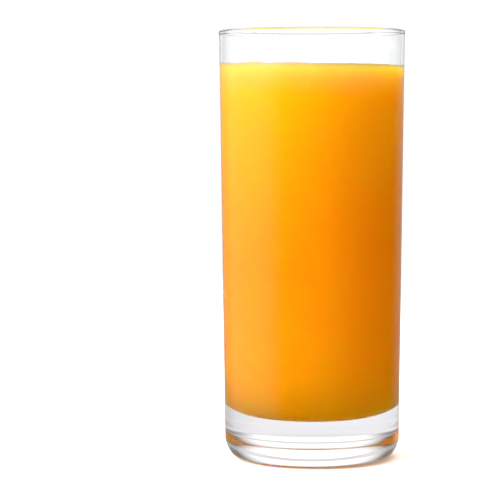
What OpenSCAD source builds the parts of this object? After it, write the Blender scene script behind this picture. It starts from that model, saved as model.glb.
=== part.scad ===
// A tall drinking glass with a thick clear base, filled with orange juice.
// Millimetres, +Z up. The origin is the centre of the glass's foot, on the table.
// Both pieces are turned about Z from half outlines: X is the radius, Y is the height.

/* [Glass] */
// Height of the glass, foot to rim
glass_h = 149; // [120:1:170]
// Outer diameter of the straight wall, just below the lip
wall_top_d = 64.4; // [59:0.1:71]
// Outer diameter that the tapered wall would reach at the table
wall_foot_d = 60.8; // [56:0.1:66]
// Thickness of the wall just below the lip
wall_top_t = 1.35; // [1.2:0.05:1.6]
// Thickness of the wall at the floor of the inside
wall_low_t = 1.8; // [1.6:0.05:2.5]
// How far the fire-polished lip swells past each face of the wall
lip_swell = 0.17; // [0:0.01:0.4]

/* [Base] */
// Height of the inside floor above the table
floor_h = 15; // [12:0.2:24]
// Radius inside, where the wall turns into the floor
inner_corner_r = 18; // [4:0.5:20]
// Radius of the heel's upper, larger round, from the wall to halfway down
heel_r = 8.4; // [7:0.2:10]
// Radius of the heel's lower, tighter round, from halfway down to the table
foot_r = 4.6; // [3:0.2:6]
// Width of the flat ring that the glass stands on
ring_w = 1.6; // [1:0.1:3]
// Depth of the shallow hollow underneath
punt_depth = 2; // [0.8:0.1:3]

/* [Juice] */
// Empty height from the lip down to the juice's level surface
headspace = 13; // [6:0.5:60]
// How high the juice climbs at the wall
climb_h = 1.8; // [0.8:0.1:2.2]
// Radius of the curve with which it climbs
climb_r = 3; // [2.5:0.1:4]

/* [Hidden] */
$fn = 96;

// Tapered wall: outer and inner radius at any height
wall_slope = (wall_top_d - wall_foot_d) / 2 / glass_h;
thin_slope = (wall_low_t - wall_top_t) / (glass_h - floor_h);
function outer_r(z) = wall_foot_d / 2 + wall_slope * z;
function wall_t(z) = wall_low_t - thin_slope * (z - floor_h);
function inner_r(z) = outer_r(z) - wall_t(z);

// A round between a level face and the sloping wall. It reaches past both by a hair, so that
// the faces cross cleanly, and the level face then cuts it off.
hair = 0.01;
function reach(slope, r) = (r - hair) * [cos(atan(slope)), -sin(atan(slope))];
function round_centre(wall_r, slope, base_z, r) =
    [wall_r - (r - hair) / cos(atan(slope)), base_z + r - hair];

// The heel is two rounds that meet where they slope at 45 degrees. The upper one alone would
// end below the table, and the lower one rounds the 45 degree slope over to the table.
heel_drop = (heel_r - foot_r) * (1 - sin(45));
heel_c = round_centre(outer_r(heel_r - heel_drop), wall_slope, -heel_drop, heel_r);
heel_slant_r = heel_c[0] - heel_c[1] + heel_r * (cos(45) + sin(45)) + foot_r + hair;
foot_c = round_centre(heel_slant_r, 1, 0, foot_r);

corner_z = floor_h + inner_corner_r;
inner_slope = wall_slope + thin_slope;
corner_c = round_centre(inner_r(corner_z), inner_slope, floor_h, inner_corner_r);
lip_r = wall_top_t / 2 + lip_swell;
lip_c = [outer_r(glass_h - lip_r) - wall_top_t / 2, glass_h - lip_r];

// The hollow underneath is a shallow dome whose edge is the standing ring's inner edge
punt_edge_r = foot_c[0] - ring_w;
punt_ball_r = (punt_edge_r * punt_edge_r + punt_depth * punt_depth) / (2 * punt_depth);

// The juice climbs at the wall, climb_h above its level surface
juice_level = glass_h - headspace;
wall_at_level = inner_r(juice_level + climb_h);
climb_w = sqrt(climb_r * climb_r - pow(climb_r - climb_h, 2));
climb_c = [wall_at_level - climb_w, juice_level + climb_r];
above = glass_h + 10;

// Half outline of a tapered body with a level base and a rounded edge to it
module tapered_outline(base_z, centre, slope, r, top) {
    intersection() {
        union() {
            polygon([
                [0, base_z],
                [centre[0], base_z],
                centre + reach(slope, r),
                top,
                [0, top[1]]
            ]);
            translate(centre) circle(r);
        }
        translate([0, base_z]) square([wall_top_d, above]);
    }
}

module outside_outline() {
    intersection() {
        tapered_outline(-heel_drop, heel_c, wall_slope, heel_r, [outer_r(lip_c[1]), lip_c[1]]);
        tapered_outline(0, foot_c, 1, foot_r, [heel_slant_r + glass_h, foot_r + glass_h]);
    }
}

module inside_outline() {
    tapered_outline(floor_h, corner_c, inner_slope, inner_corner_r, [inner_r(above), above]);
}

module glass_section() {
    difference() {
        outside_outline();
        inside_outline();
        intersection() {
            translate([0, punt_depth - punt_ball_r]) circle(punt_ball_r, $fn = 720);
            translate([0, -1]) square([punt_edge_r, punt_depth + 2]);
        }
    }
    translate(lip_c) circle(lip_r);
}

module juice_section() {
    difference() {
        intersection() {
            inside_outline();
            square([wall_top_d, juice_level + climb_h]);
        }
        translate([0, juice_level]) square([climb_c[0], climb_r]);
        translate(climb_c) circle(climb_r);
    }
}

module glass() {
    color([0.88, 0.93, 0.95, 0.35]) rotate_extrude() glass_section();
}

module juice() {
    color([1.0, 0.62, 0.05]) rotate_extrude() juice_section();
}

glass();
juice();
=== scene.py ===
import math

import bmesh
import bpy
from mathutils import Matrix, Vector, noise


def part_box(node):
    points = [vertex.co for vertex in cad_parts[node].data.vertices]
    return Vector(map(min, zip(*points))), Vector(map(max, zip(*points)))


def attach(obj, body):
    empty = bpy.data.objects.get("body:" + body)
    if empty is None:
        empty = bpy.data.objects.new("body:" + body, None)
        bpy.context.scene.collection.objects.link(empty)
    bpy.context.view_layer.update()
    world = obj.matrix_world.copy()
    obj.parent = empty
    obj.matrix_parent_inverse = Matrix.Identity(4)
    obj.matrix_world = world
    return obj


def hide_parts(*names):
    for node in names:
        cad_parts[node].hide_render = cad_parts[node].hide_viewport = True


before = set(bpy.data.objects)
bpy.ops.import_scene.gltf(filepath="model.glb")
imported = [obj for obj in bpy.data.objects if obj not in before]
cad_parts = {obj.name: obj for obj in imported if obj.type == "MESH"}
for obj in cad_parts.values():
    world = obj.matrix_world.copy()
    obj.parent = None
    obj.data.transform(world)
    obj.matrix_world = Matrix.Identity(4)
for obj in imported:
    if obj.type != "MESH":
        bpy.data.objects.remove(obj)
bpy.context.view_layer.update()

MM = 0.001

# ---- Sizes of the glass and the juice ----
# The heights come from the frame, and the radii and rounds are the glass's own.
_, glass_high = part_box("glass")
juice_low, juice_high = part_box("juice")
GLASS_HEIGHT = glass_high.z
FLOOR_HEIGHT = juice_low.z
JUICE_EDGE = juice_high.z

LIP_SWELL = 0.168 * MM
NECK_CUT = 0.12 * MM
WALL_AT_LIP = 1.35 * MM
WALL_AT_FLOOR = 1.8 * MM
WALL_TOP_RADIUS = 32.2 * MM
WALL_FOOT_RADIUS = 30.4 * MM
HEEL_ROUND = 8.4 * MM
FOOT_ROUND = 4.6 * MM
INSIDE_ROUND = 18.0 * MM
RING_WIDTH = 1.6 * MM
PUNT_DEPTH = 2.0 * MM
CLIMB_HEIGHT = 1.8 * MM
CLIMB_ROUND = 3.0 * MM
RING_EDGE_ROUND = 0.4 * MM
# How far the juice reaches into the wall, so that no air shows between them
JUICE_REACH = 0.12 * MM

# ---- How finely the outlines are drawn ----
# Neighbouring rounds stop just short of each other
JUST_SHORT = 0.99
CLIMB_SHORT = 0.98
PUNT_SHORT = 0.01 * MM
BEAD_EASE = 0.55
TURN_STEPS = 256
HOLD_BACK = 0.15 * MM
HOLD_ONLY_PAST = 6
LONGEST_STEP = 6 * MM
MERGE_WITHIN = 0.002 * MM

# ---- How the juice's climb varies round the wall, as shares of the full climb ----
CLIMB_USUAL = 0.68
CLIMB_LEAST = 0.35
CLIMB_LEAN = 0.26
CLIMB_WAVE = 0.13
CLIMB_WAVE_RATE = 3.1
CLIMB_RIPPLE = 0.06
CLIMB_RIPPLE_RATE = 8.3


def outer_radius(height):
    """Radius of the tapered outside wall at a height."""
    share = height / GLASS_HEIGHT
    return WALL_FOOT_RADIUS + (WALL_TOP_RADIUS - WALL_FOOT_RADIUS) * share


def inner_radius(height):
    """Radius of the inside wall, which thickens towards the floor."""
    share = (GLASS_HEIGHT - height) / (GLASS_HEIGHT - FLOOR_HEIGHT)
    return outer_radius(height) - WALL_AT_LIP - (WALL_AT_FLOOR - WALL_AT_LIP) * share


# ---- Making of turned pieces ----
def half_outline(corners):
    """Wire outline in the XZ plane. A corner is (radius, height, cut back by, steps)."""
    outline = bmesh.new()
    points = [outline.verts.new((radius, 0, height)) for radius, height, _, _ in corners]
    for start, end in zip(points, points[1:]):
        outline.edges.new((start, end))
    rounded = [(p, c[2], c[3]) for p, c in zip(points, corners) if c[2] > 0]
    for point, cut_back, steps in rounded:
        bmesh.ops.bevel(
            outline, geom=[point], offset=cut_back, offset_type="OFFSET", segments=steps,
            profile=0.5, affect="VERTICES", material=-1, clamp_overlap=False,
        )
    return outline


def hold_ends(outline, near):
    """Adds a point near both ends of each long edge, to keep the shading true beside the rounds."""
    for edge in list(outline.edges):
        if edge.calc_length() > HOLD_ONLY_PAST * near:
            _, point = bmesh.utils.edge_split(edge, edge.verts[0], near / edge.calc_length())
            rest = max(point.link_edges, key=lambda part: part.calc_length())
            bmesh.utils.edge_split(rest, rest.other_vert(point), near / rest.calc_length())


def split_long(outline, longest):
    """Splits the outline's long edges into even lengths."""
    for edge in list(outline.edges):
        cuts = int(edge.calc_length() / longest)
        if cuts:
            bmesh.ops.subdivide_edges(outline, edges=[edge], cuts=cuts)


def turn(outline):
    """Spins the outline all the way round Z and closes the poles."""
    bmesh.ops.spin(
        outline, geom=outline.verts[:] + outline.edges[:], cent=(0, 0, 0), axis=(0, 0, 1),
        angle=math.tau, steps=TURN_STEPS, use_merge=True,
    )
    bmesh.ops.remove_doubles(outline, verts=outline.verts, dist=MERGE_WITHIN)
    bmesh.ops.recalc_face_normals(outline, faces=outline.faces)


def finished(name, mesh_data, material):
    """Turns a bmesh into a smooth-shaded object at the origin."""
    mesh = bpy.data.meshes.new(name)
    for face in mesh_data.faces:
        face.smooth = True
    mesh_data.to_mesh(mesh)
    mesh_data.free()
    piece = bpy.data.objects.new(name, mesh)
    bpy.context.scene.collection.objects.link(piece)
    mesh.materials.append(material)
    return piece


# ---- Materials ----
GLASS_CLEAR = (1.0, 1.0, 1.0)
GLASS_TINT = (0.985, 0.995, 0.992)
JUICE_DEEP = (0.92, 0.386, 0.002)
JUICE_BRIGHT = (0.93, 0.408, 0.003)
# Painted light: the upper juice is painted paler and yellower, standing in for the light that falls
# on it from above
JUICE_PAINTED_TOP_LIGHT = (0.97, 0.555, 0.004)
PULP_PALE = (0.98, 0.52, 0.02)
# Pale froth colour: partly real froth, partly painted light standing in for light coming through the
# top surface
FROTH_PALE_AND_TOP_LIGHT = (0.76, 0.46, 0.11)
UPPER_FADE = 60 * MM
FROTH_AND_TOP_LIGHT_FADE = 7 * MM
BLEED_FADE = 28 * MM
JUICE_BLEED = (1.0, 0.085, 0.02)
FROTH_BLEED = (0.9, 0.65, 0.1)
JUICE_BLEED_LENGTH = 0.04
FADE_PAST_EDGE = 4 * MM
UPPER_PAST_EDGE = 6 * MM
GLASS_IOR = 1.52
TINT_SCALE = 18
POLISH_SCALE = 60
POLISH_SPREAD = (0.35, 0.8)
GLASS_ROUGHEST = 0.02
WAVE_SCALE = 45
WAVE_STRETCH = (1, 1, 2.2)
WAVE_STRENGTH = 0.05
WAVE_DEPTH = 0.5 * MM
CLOUD_SCALE = 32
CLOUD_STRETCH = (1, 1, 0.6)
CLOUD_SPREAD = (0.3, 0.7)
PULP_SCALE = 420
PULP_STRETCH = (1, 1, 0.55)
FLECK_SPREAD = (0.66, 0.78)
FLECK_SHARE = 0.35
DRIFT_SCALE = 26
DRIFT_REACH = 10 * MM
THIN_EDGE_FROM = -0.8 * MM
THIN_EDGE_TO = 0.5 * MM
THIN_EDGE_BLEED = 0.25
SHINE_FROM = -0.3 * MM
SHINE_TO = -0.1 * MM
SHINE_AT_WALL = 0.01
SHINE_ON_TOP = 0.5
WET_SCALE = 150
WET_SPREAD = (0.3, 0.7)
WET_ROUGHNESS = (0.22, 0.42)
PULP_STRENGTH = 0.25
PULP_DEPTH = 0.15 * MM


def new_material(name):
    material = bpy.data.materials.new(name)
    material.use_nodes = True
    return material, material.node_tree.nodes, material.node_tree.links


def own_place(nodes):
    """The point on the piece, in the piece's own metres."""
    return nodes.new("ShaderNodeTexCoord").outputs["Object"]


def mottle(nodes, links, place, scale, detail, stretch=(1, 1, 1)):
    """Soft 0 to 1 noise over the piece. Stretch squeezes the pattern along each axis."""
    squeeze = nodes.new("ShaderNodeVectorMath")
    squeeze.operation = "MULTIPLY"
    squeeze.inputs[1].default_value = stretch
    links.new(place, squeeze.inputs[0])
    texture = nodes.new("ShaderNodeTexNoise")
    texture.inputs["Scale"].default_value = scale
    texture.inputs["Detail"].default_value = detail
    links.new(squeeze.outputs[0], texture.inputs["Vector"])
    return texture.outputs["Fac"]


def ramp_along(nodes, links, value, low, high, start=0.0, end=1.0):
    """Smooth ramp from start to end while a value goes from low to high."""
    ramp = nodes.new("ShaderNodeMapRange")
    ramp.interpolation_type = "SMOOTHSTEP"
    ramp.inputs["From Min"].default_value = low
    ramp.inputs["From Max"].default_value = high
    ramp.inputs["To Min"].default_value = start
    ramp.inputs["To Max"].default_value = end
    links.new(value, ramp.inputs["Value"])
    return ramp.outputs["Result"]


def combined(nodes, links, first, second, operation):
    """Result of a sum or other operation on two values, each a socket or a fixed number."""
    step = nodes.new("ShaderNodeMath")
    step.operation = operation
    for socket, value in zip(step.inputs, (first, second)):
        if isinstance(value, (int, float)):
            socket.default_value = value
        else:
            links.new(value, socket)
    return step.outputs[0]


def blend_colours(nodes, links, share, first, second):
    """Mix of two colours, each a socket or a fixed value."""
    mix = nodes.new("ShaderNodeMix")
    mix.data_type = "RGBA"
    links.new(share, mix.inputs["Factor"])
    for socket, colour in (("A", first), ("B", second)):
        target = [i for i in mix.inputs if i.name == socket and i.type == "RGBA"][0]
        if isinstance(colour, tuple):
            target.default_value = (*colour, 1)
        else:
            links.new(colour, target)
    return [o for o in mix.outputs if o.type == "RGBA"][0]


def surface_relief(nodes, links, height, strength, depth):
    """Bump from a height value."""
    bump = nodes.new("ShaderNodeBump")
    bump.inputs["Strength"].default_value = strength
    bump.inputs["Distance"].default_value = depth
    links.new(height, bump.inputs["Height"])
    return bump.outputs["Normal"]


def clear_glass():
    """Polished soda-lime glass, with the faint waves left by pressing and fire polishing."""
    material, nodes, links = new_material("clear_glass")
    shader = nodes["Principled BSDF"]
    place = own_place(nodes)
    shade = mottle(nodes, links, place, TINT_SCALE, 1)
    tint = blend_colours(nodes, links, shade, GLASS_CLEAR, GLASS_TINT)
    links.new(tint, shader.inputs["Base Color"])
    shader.inputs["Transmission Weight"].default_value = 1
    shader.inputs["IOR"].default_value = GLASS_IOR
    wear = mottle(nodes, links, place, POLISH_SCALE, 2)
    polish = ramp_along(nodes, links, wear, *POLISH_SPREAD, 0.0, GLASS_ROUGHEST)
    links.new(polish, shader.inputs["Roughness"])
    waves = mottle(nodes, links, place, WAVE_SCALE, 0, WAVE_STRETCH)
    relief = surface_relief(nodes, links, waves, WAVE_STRENGTH, WAVE_DEPTH)
    links.new(relief, shader.inputs["Normal"])
    return material


def orange_juice():
    """Cloudy juice with pulp flecks, deeper and more even below. Painted light: paler and yellower
    towards the top, and a pale froth band at the edge that is partly painted light from the top
    surface.
    """
    material, nodes, links = new_material("orange_juice")
    shader = nodes["Principled BSDF"]
    place = own_place(nodes)
    parts = nodes.new("ShaderNodeSeparateXYZ")
    links.new(place, parts.inputs[0])
    true_height = parts.outputs["Z"]
    level = JUICE_EDGE - CLIMB_HEIGHT

    cloud = mottle(nodes, links, place, CLOUD_SCALE, 2, CLOUD_STRETCH)
    cloudy = ramp_along(nodes, links, cloud, *CLOUD_SPREAD)
    body = blend_colours(nodes, links, cloudy, JUICE_DEEP, JUICE_BRIGHT)
    pulp = mottle(nodes, links, place, PULP_SCALE, 3, PULP_STRETCH)
    flecks = ramp_along(nodes, links, pulp, *FLECK_SPREAD, 0.0, FLECK_SHARE)
    body = blend_colours(nodes, links, flecks, body, PULP_PALE)

    wander = mottle(nodes, links, place, DRIFT_SCALE, 1)
    drift = combined(nodes, links, wander, DRIFT_REACH, "MULTIPLY")
    height = combined(nodes, links, true_height, drift, "ADD")
    # Painted light: paler and yellower towards the top, with a wavy edge, standing in for light
    # falling from above
    painted_top_light = ramp_along(nodes, links, height, JUICE_EDGE - UPPER_FADE, JUICE_EDGE + UPPER_PAST_EDGE)
    body = blend_colours(nodes, links, painted_top_light, body, JUICE_PAINTED_TOP_LIGHT)
    # Froth band at the edge: partly real froth, partly painted light from the top surface
    froth_and_top_light = ramp_along(nodes, links, height, JUICE_EDGE - FROTH_AND_TOP_LIGHT_FADE, JUICE_EDGE + FADE_PAST_EDGE)
    links.new(blend_colours(nodes, links, froth_and_top_light, body, FROTH_PALE_AND_TOP_LIGHT), shader.inputs["Base Color"])

    thin_edge = ramp_along(
        nodes, links, true_height, level + THIN_EDGE_FROM, level + THIN_EDGE_TO, 1.0, THIN_EDGE_BLEED,
    )
    links.new(thin_edge, shader.inputs["Subsurface Weight"])
    milky = ramp_along(nodes, links, height, JUICE_EDGE - BLEED_FADE, JUICE_EDGE + FADE_PAST_EDGE)
    bleed = blend_colours(nodes, links, milky, JUICE_BLEED, FROTH_BLEED)
    links.new(bleed, shader.inputs["Subsurface Radius"])
    shader.inputs["Subsurface Scale"].default_value = JUICE_BLEED_LENGTH

    shine = ramp_along(
        nodes, links, true_height, level + SHINE_FROM, level + SHINE_TO, SHINE_AT_WALL, SHINE_ON_TOP,
    )
    links.new(shine, shader.inputs["Specular IOR Level"])
    film = mottle(nodes, links, place, WET_SCALE, 2)
    wet = ramp_along(nodes, links, film, *WET_SPREAD, *WET_ROUGHNESS)
    links.new(wet, shader.inputs["Roughness"])
    relief = surface_relief(nodes, links, pulp, PULP_STRENGTH, PULP_DEPTH)
    links.new(relief, shader.inputs["Normal"])
    return material


# ---- The tumbler ----
def make_tumbler():
    lip_round = WALL_AT_LIP / 2 + LIP_SWELL
    lip_middle = outer_radius(GLASS_HEIGHT - lip_round) - WALL_AT_LIP / 2
    bead_turn = math.acos(WALL_AT_LIP / 2 / lip_round)
    bead_cut = lip_round * math.tan(bead_turn / 2)
    bead_middle = GLASS_HEIGHT - lip_round
    neck = bead_middle - lip_round * math.sin(bead_turn)
    half_turn = math.radians(45) / 2
    slant = (1 - math.cos(math.radians(45))) * (HEEL_ROUND + FOOT_ROUND)
    heel_cut = HEEL_ROUND * math.tan(half_turn)
    foot_cut = FOOT_ROUND * math.tan(half_turn)
    ring_inner = WALL_FOOT_RADIUS - slant - foot_cut - RING_WIDTH
    corners = [
        (0, PUNT_DEPTH, 0, 0),
        (ring_inner / 2, PUNT_DEPTH, ring_inner / 2 - PUNT_SHORT, 12),
        (ring_inner, 0, RING_EDGE_ROUND, 4),
        (outer_radius(0) - slant, 0, foot_cut * JUST_SHORT, 14),
        (outer_radius(slant), slant, heel_cut * JUST_SHORT, 18),
        (outer_radius(neck), neck, NECK_CUT, 3),
        (lip_middle + lip_round, bead_middle - bead_cut, bead_cut * BEAD_EASE, 5),
        (lip_middle + lip_round, GLASS_HEIGHT, lip_round, 10),
        (lip_middle - lip_round, GLASS_HEIGHT, lip_round, 10),
        (lip_middle - lip_round, bead_middle - bead_cut, bead_cut * BEAD_EASE, 5),
        (inner_radius(neck), neck, NECK_CUT, 3),
        (inner_radius(FLOOR_HEIGHT), FLOOR_HEIGHT, INSIDE_ROUND, 16),
        (0, FLOOR_HEIGHT, 0, 0),
    ]
    outline = half_outline(corners)
    hold_ends(outline, HOLD_BACK)
    split_long(outline, LONGEST_STEP)
    turn(outline)
    return finished("tumbler", outline, clear_glass())


# ---- The juice ----
def climb_share(angle):
    """Share of the full climb that the juice has round the wall: most left, least right."""
    place = Vector((math.cos(angle), math.sin(angle), 0))
    wave = CLIMB_WAVE * noise.noise(place * CLIMB_WAVE_RATE)
    ripple = CLIMB_RIPPLE * noise.noise(place * CLIMB_RIPPLE_RATE)
    return min(1.0, max(CLIMB_LEAST, CLIMB_USUAL - CLIMB_LEAN * place.x + wave + ripple))


def make_juice():
    level = JUICE_EDGE - CLIMB_HEIGHT
    wall = inner_radius(JUICE_EDGE) + JUICE_REACH
    climb_turn = math.acos(1 - CLIMB_HEIGHT / CLIMB_ROUND)
    climb_cut = CLIMB_ROUND * math.tan(climb_turn / 2)
    climb_corner = wall - CLIMB_ROUND * math.sin(climb_turn) + climb_cut
    corners = [
        (0, FLOOR_HEIGHT - JUICE_REACH, 0, 0),
        (inner_radius(FLOOR_HEIGHT) + JUICE_REACH, FLOOR_HEIGHT - JUICE_REACH, INSIDE_ROUND, 16),
        (wall, JUICE_EDGE, 0, 0),
        (climb_corner, level, climb_cut * CLIMB_SHORT, 10),
        (0, level, 0, 0),
    ]
    outline = half_outline(corners)
    hold_ends(outline, HOLD_BACK)
    split_long(outline, LONGEST_STEP)
    turn(outline)
    for point in outline.verts:
        if point.co.z > level:
            share = climb_share(math.atan2(point.co.y, point.co.x))
            point.co.z = level + (point.co.z - level) * share
    return finished("orange_juice", outline, orange_juice())


tumbler = make_tumbler()
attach(tumbler, "root")
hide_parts("glass")

juice = make_juice()
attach(juice, "root")
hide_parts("juice")


# ---- Camera ----
CAMERA_BACK = 0.7059
CAMERA_HEIGHT = 0.1226
CAMERA_TILT = math.radians(4.05)
CAMERA_PAN = math.radians(1.756)
CAMERA_ROLL = math.radians(-0.124)
CAMERA_LENS = 145.6
CAMERA_SENSOR = 36

# ---- Floor ----
FLOOR_SOLID = 0.35
FLOOR_GONE = 0.8
FLOOR_DROP = 0.05 * MM
FLOOR_STEPS = 128
FLOOR_ROUGHNESS = 0.7
FLOOR_WHITE = (0.93, 0.93, 0.93)
# Painted shade: the floor is painted a darker lavender grey where it is seen through the glass
FLOOR_SHADE_THROUGH_GLASS = (0.42, 0.435, 0.48)

# ---- What is seen through the clear glass ----
BACK_FROM = 0.56
BACK_FULL = 0.95
BACK_WHITE = (1.02, 1.02, 1.02)
SIDE_GREY = (0.13, 0.115, 0.11)
SIDE_WHITE_FROM = 0.1
SIDE_WHITE_TO = 0.22
EDGE_GREY = (0.60, 0.57, 0.57)
EDGE_LOW = (0.085, 0.110)
EDGE_HIGH = (0.145, 0.120)
OVERHEAD = (0.45, 0.44, 0.44)
OVERHEAD_RISE = (0.35, 0.6)
LOW_GREY = (0.28, 0.29, 0.34)
LOW_RISE = (0.13, 0.0)
BESIDE_RISE = (0.97, 0.6)
THROUGH_GAIN = 0.25

# ---- What the glass mirrors ----
MIRROR_DARK = (0.0, 0.0, 0.0)
MIRROR_PANEL = (0.65, 0.65, 0.65)
MIRROR_BACK = (0.35, 0.35, 0.35)
PANEL_RISE = (-0.55, -0.95)
MIRROR_BACK_RISE = (0.5, 0.98)

# ---- What lights the juice ----
FILL_FRONT = (0.40, 0.22, 0.09)
FILL_BACK = (1.0, 0.95, 0.85)
FILL_BACK_RISE = (-0.2, 0.5)
FILL_ABOVE = (1.2, 1.12, 1.02)
FILL_ABOVE_RISE = (0.3, 0.8)
PANEL_SIZE = (0.9, 0.9)
KEY_PLACE = (-0.9, -0.66, 0.62)
KEY_AIM = (0, 0, 0.08)
KEY_POWER = 32.5
TOP_PLACE = (0.24, -0.06, 1.3)
TOP_AIM = (0, 0, 0.05)
TOP_POWER = 12
ANY_BOUNCE = 0.5


def make_camera():
    data = bpy.data.cameras.new("camera")
    data.lens = CAMERA_LENS
    data.sensor_width = CAMERA_SENSOR
    camera = bpy.data.objects.new("camera", data)
    camera.location = (0, -CAMERA_BACK, CAMERA_HEIGHT)
    aim = Matrix.Rotation(CAMERA_PAN, 3, "Z") @ Matrix.Rotation(math.pi / 2 - CAMERA_TILT, 3, "X")
    camera.rotation_euler = (aim @ Matrix.Rotation(CAMERA_ROLL, 3, "Z")).to_euler()
    bpy.context.scene.collection.objects.link(camera)
    bpy.context.scene.camera = camera


def white_floor():
    """White table that fades out into the studio's backdrop far from the glass, with painted shade:
    darker grey where it is seen through the glass.
    """
    material, nodes, links = new_material("white_floor")
    shader = nodes["Principled BSDF"]
    through = nodes.new("ShaderNodeLightPath").outputs["Is Transmission Ray"]
    # Painted shade: rays that come through the glass see the darker floor colour
    colour = blend_colours(nodes, links, through, FLOOR_WHITE, FLOOR_SHADE_THROUGH_GLASS)
    links.new(colour, shader.inputs["Base Color"])
    shader.inputs["Roughness"].default_value = FLOOR_ROUGHNESS
    distance = nodes.new("ShaderNodeVectorMath")
    distance.operation = "LENGTH"
    links.new(own_place(nodes), distance.inputs[0])
    fade = ramp_along(nodes, links, distance.outputs["Value"], FLOOR_SOLID, FLOOR_GONE, 1.0, 0.0)
    links.new(fade, shader.inputs["Alpha"])
    return material


def make_floor():
    sheet = bmesh.new()
    bmesh.ops.create_circle(sheet, cap_ends=True, segments=FLOOR_STEPS, radius=FLOOR_GONE)
    floor = finished("floor", sheet, white_floor())
    floor.location.z = -FLOOR_DROP
    floor.visible_glossy = False


def soft_light(name, place, aim, power):
    """Soft panel that lights the pieces, but isn't seen as a shape through the clear glass."""
    data = bpy.data.lights.new(name, "AREA")
    data.shape = "RECTANGLE"
    data.size, data.size_y = PANEL_SIZE
    data.energy = power
    data.use_nodes = True
    nodes, links = data.node_tree.nodes, data.node_tree.links
    path = nodes.new("ShaderNodeLightPath")
    unbounced = combined(nodes, links, path.outputs["Diffuse Depth"], ANY_BOUNCE, "LESS_THAN")
    seen_through = combined(nodes, links, unbounced, path.outputs["Is Transmission Ray"], "MULTIPLY")
    lighting = combined(nodes, links, 1, seen_through, "SUBTRACT")
    links.new(lighting, nodes["Emission"].inputs["Strength"])
    light = bpy.data.objects.new(name, data)
    light.location = place
    direction = Vector(aim) - Vector(place)
    light.rotation_euler = direction.to_track_quat("-Z", "Y").to_euler()
    light.visible_camera = False
    light.visible_glossy = False
    bpy.context.scene.collection.objects.link(light)


def seen_backdrop(nodes, links, either_way, height):
    """White in front, behind and square to the sides, grey at a slant, dark low down beside."""
    facing = ramp_along(nodes, links, either_way, BACK_FROM, BACK_FULL)
    seen = blend_colours(nodes, links, facing, SIDE_GREY, BACK_WHITE)
    side_on = ramp_along(nodes, links, either_way, SIDE_WHITE_TO, SIDE_WHITE_FROM)
    seen = blend_colours(nodes, links, side_on, seen, BACK_WHITE)
    edge_low = ramp_along(nodes, links, height, *EDGE_LOW)
    edge_high = ramp_along(nodes, links, height, *EDGE_HIGH)
    backdrop_edge = combined(nodes, links, edge_low, edge_high, "MULTIPLY")
    seen = blend_colours(nodes, links, backdrop_edge, seen, EDGE_GREY)
    overhead = ramp_along(nodes, links, height, *OVERHEAD_RISE)
    seen = blend_colours(nodes, links, overhead, seen, OVERHEAD)
    beside = ramp_along(nodes, links, either_way, *BESIDE_RISE)
    off_side = ramp_along(nodes, links, either_way, SIDE_WHITE_FROM, SIDE_WHITE_TO)
    beside = combined(nodes, links, beside, off_side, "MULTIPLY")
    low_down = ramp_along(nodes, links, height, *LOW_RISE)
    low_beside = combined(nodes, links, beside, low_down, "MULTIPLY")
    return blend_colours(nodes, links, low_beside, seen, LOW_GREY)


def mirrored_backdrop(nodes, links, across, depth):
    """Soft white panel on the left, and some of the white behind."""
    left = ramp_along(nodes, links, across, *PANEL_RISE)
    mirrored = blend_colours(nodes, links, left, MIRROR_DARK, MIRROR_PANEL)
    behind = ramp_along(nodes, links, depth, *MIRROR_BACK_RISE)
    return blend_colours(nodes, links, behind, mirrored, MIRROR_BACK)


def fill_light(nodes, links, depth, height):
    """Warm fill from the front, white from behind and above."""
    behind = ramp_along(nodes, links, depth, *FILL_BACK_RISE)
    lit = blend_colours(nodes, links, behind, FILL_FRONT, FILL_BACK)
    above = ramp_along(nodes, links, height, *FILL_ABOVE_RISE)
    return blend_colours(nodes, links, above, lit, FILL_ABOVE)


def make_world():
    """White studio: one backdrop to look at and through, one to mirror, and one that lights."""
    world = bpy.data.worlds.new("studio")
    world.use_nodes = True
    nodes, links = world.node_tree.nodes, world.node_tree.links
    direction = nodes.new("ShaderNodeSeparateXYZ")
    links.new(nodes.new("ShaderNodeTexCoord").outputs["Generated"], direction.inputs[0])
    across, depth, height = direction.outputs
    either_way = combined(nodes, links, depth, 0, "ABSOLUTE")
    seen = seen_backdrop(nodes, links, either_way, height)
    mirrored = mirrored_backdrop(nodes, links, across, depth)
    lit = fill_light(nodes, links, depth, height)

    path = nodes.new("ShaderNodeLightPath")
    through, shiny = path.outputs["Is Transmission Ray"], path.outputs["Is Glossy Ray"]
    only_mirrored = nodes.new("ShaderNodeMath")
    only_mirrored.operation = "SUBTRACT"
    only_mirrored.use_clamp = True
    links.new(shiny, only_mirrored.inputs[0])
    links.new(through, only_mirrored.inputs[1])
    bounced = combined(nodes, links, path.outputs["Diffuse Depth"], ANY_BOUNCE, "GREATER_THAN")
    colour = blend_colours(nodes, links, through, lit, seen)
    colour = blend_colours(nodes, links, only_mirrored.outputs[0], colour, mirrored)
    colour = blend_colours(nodes, links, bounced, colour, lit)
    colour = blend_colours(nodes, links, path.outputs["Is Camera Ray"], colour, BACK_WHITE)
    links.new(colour, nodes["Background"].inputs["Color"])
    extra = combined(nodes, links, through, THROUGH_GAIN, "MULTIPLY")
    gain = combined(nodes, links, extra, 1, "ADD")
    links.new(gain, nodes["Background"].inputs["Strength"])
    bpy.context.scene.world = world


make_camera()
make_floor()
make_world()
soft_light("key_left", KEY_PLACE, KEY_AIM, KEY_POWER)
soft_light("top", TOP_PLACE, TOP_AIM, TOP_POWER)

scene = bpy.context.scene
scene.view_settings.view_transform = "Standard"
scene.view_settings.look = "None"
